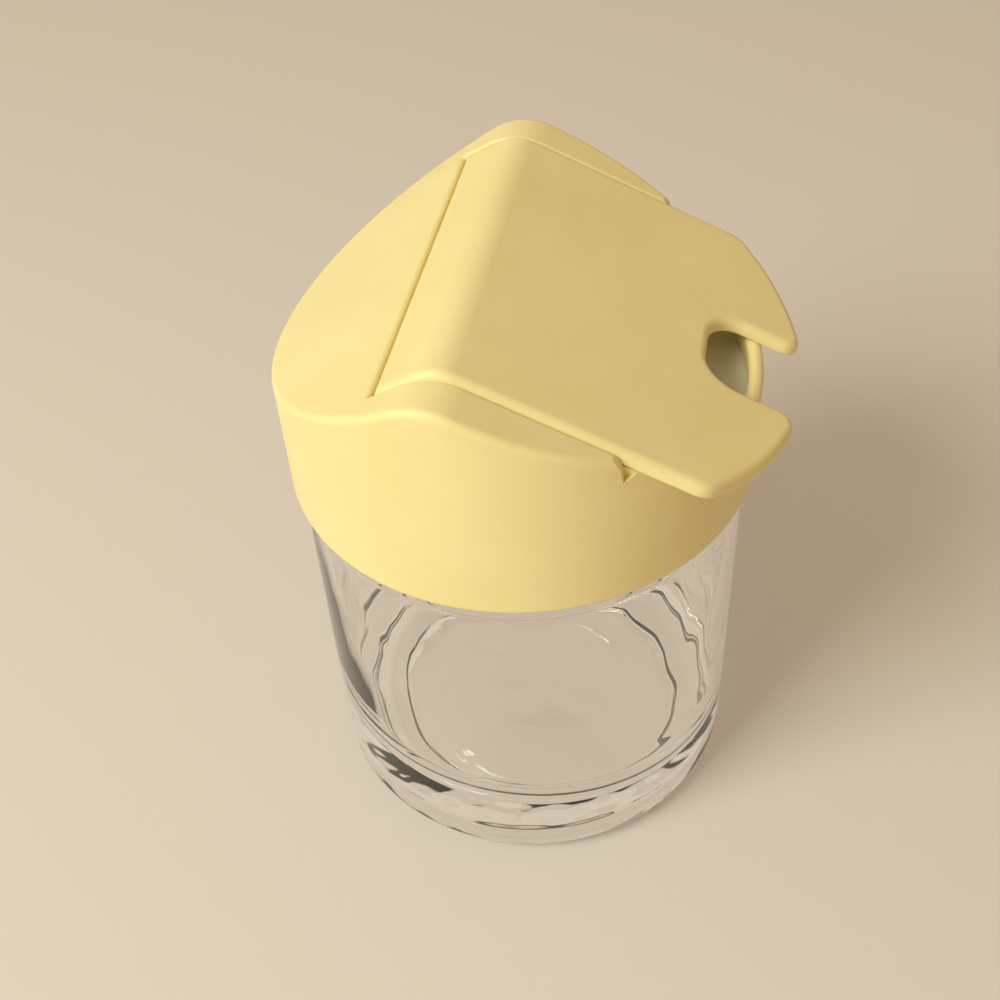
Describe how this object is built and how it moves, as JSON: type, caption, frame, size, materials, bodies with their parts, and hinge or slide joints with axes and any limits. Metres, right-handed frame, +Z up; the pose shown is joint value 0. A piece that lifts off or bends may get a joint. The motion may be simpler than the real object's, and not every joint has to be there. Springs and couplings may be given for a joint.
{
  "type": "sugar dispenser with flap",
  "caption": "Clear glass sugar jar with a gabled yellow plastic screw cap, a hinged flap with a spoon notch and a sealing ring under the cap.",
  "frame": {"origin": "centre of the jar's foot, on the plane it stands on, on the jar's axis", "axes": "+Z up along the jar's axis, -Y towards the flap's spoon notch, X along the flap's hinge line"},
  "size_m": [0.082, 0.0871, 0.1148],
  "materials": {
    "clear_glass": "clear, smooth",
    "seal": "soft, matte",
    "cap_plastic": "butter yellow, satin",
    "flap_plastic": "butter yellow, satin"
  },
  "bodies": {
    "jar": {"jar": "clear_glass"},
    "seal_ring": {"seal_ring": "seal"},
    "cap": {"cap": "cap_plastic"},
    "flap": {"flap": "flap_plastic"}
  },
  "joints": [
    {"name": "cap_lift", "type": "slide", "parent": "jar", "child": "seal_ring", "axis": [0, 0, 1], "range_m": [0, 0.0075]},
    {"name": "cap_turn", "type": "hinge", "parent": "seal_ring", "child": "cap", "pos_m": [0, 0, 0.0735], "axis": [0, 0, 1], "range_deg": [0, 540]},
    {"name": "flap_hinge", "type": "hinge", "parent": "cap", "child": "flap", "pos_m": [0, 0.01204, 0.10925], "axis": [-1, 0, 0], "range_deg": [0, 100]}
  ],
  "couplings": [
    {"joint": "cap_lift", "follows": "cap_turn", "m_per_rad": 0.00079577}
  ]
}
